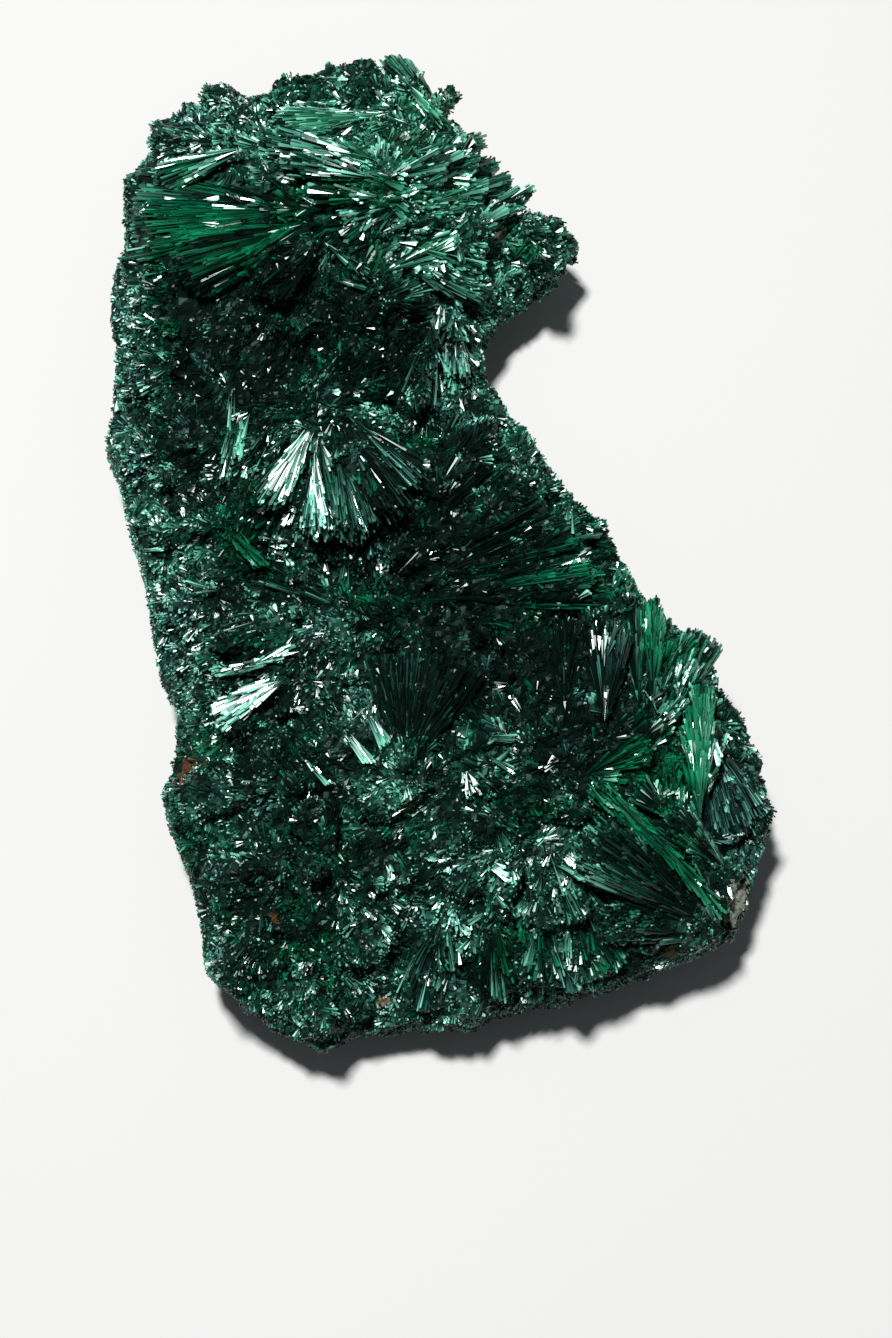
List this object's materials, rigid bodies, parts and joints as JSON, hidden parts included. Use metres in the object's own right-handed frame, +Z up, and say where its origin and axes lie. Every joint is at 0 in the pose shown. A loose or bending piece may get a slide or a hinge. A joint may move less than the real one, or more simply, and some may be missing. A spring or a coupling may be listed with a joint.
{
  "type": "malachite crystal cluster",
  "caption": "Fibrous malachite cluster: fans of fine green crystals grown together into one curved slab, with a flat broken underside.",
  "frame": {"origin": "middle of the bounding box, on the flat underside", "axes": "+Z up from the flat underside, +Y along the specimen towards its rounded crown, +X to the side of the small lobe"},
  "size_m": [0.0316, 0.0498, 0.0113],
  "materials": {
    "malachite": "silky to vitreous crystals"
  },
  "bodies": {
    "root": {"malachite_cluster": "malachite"}
  },
  "joints": []
}
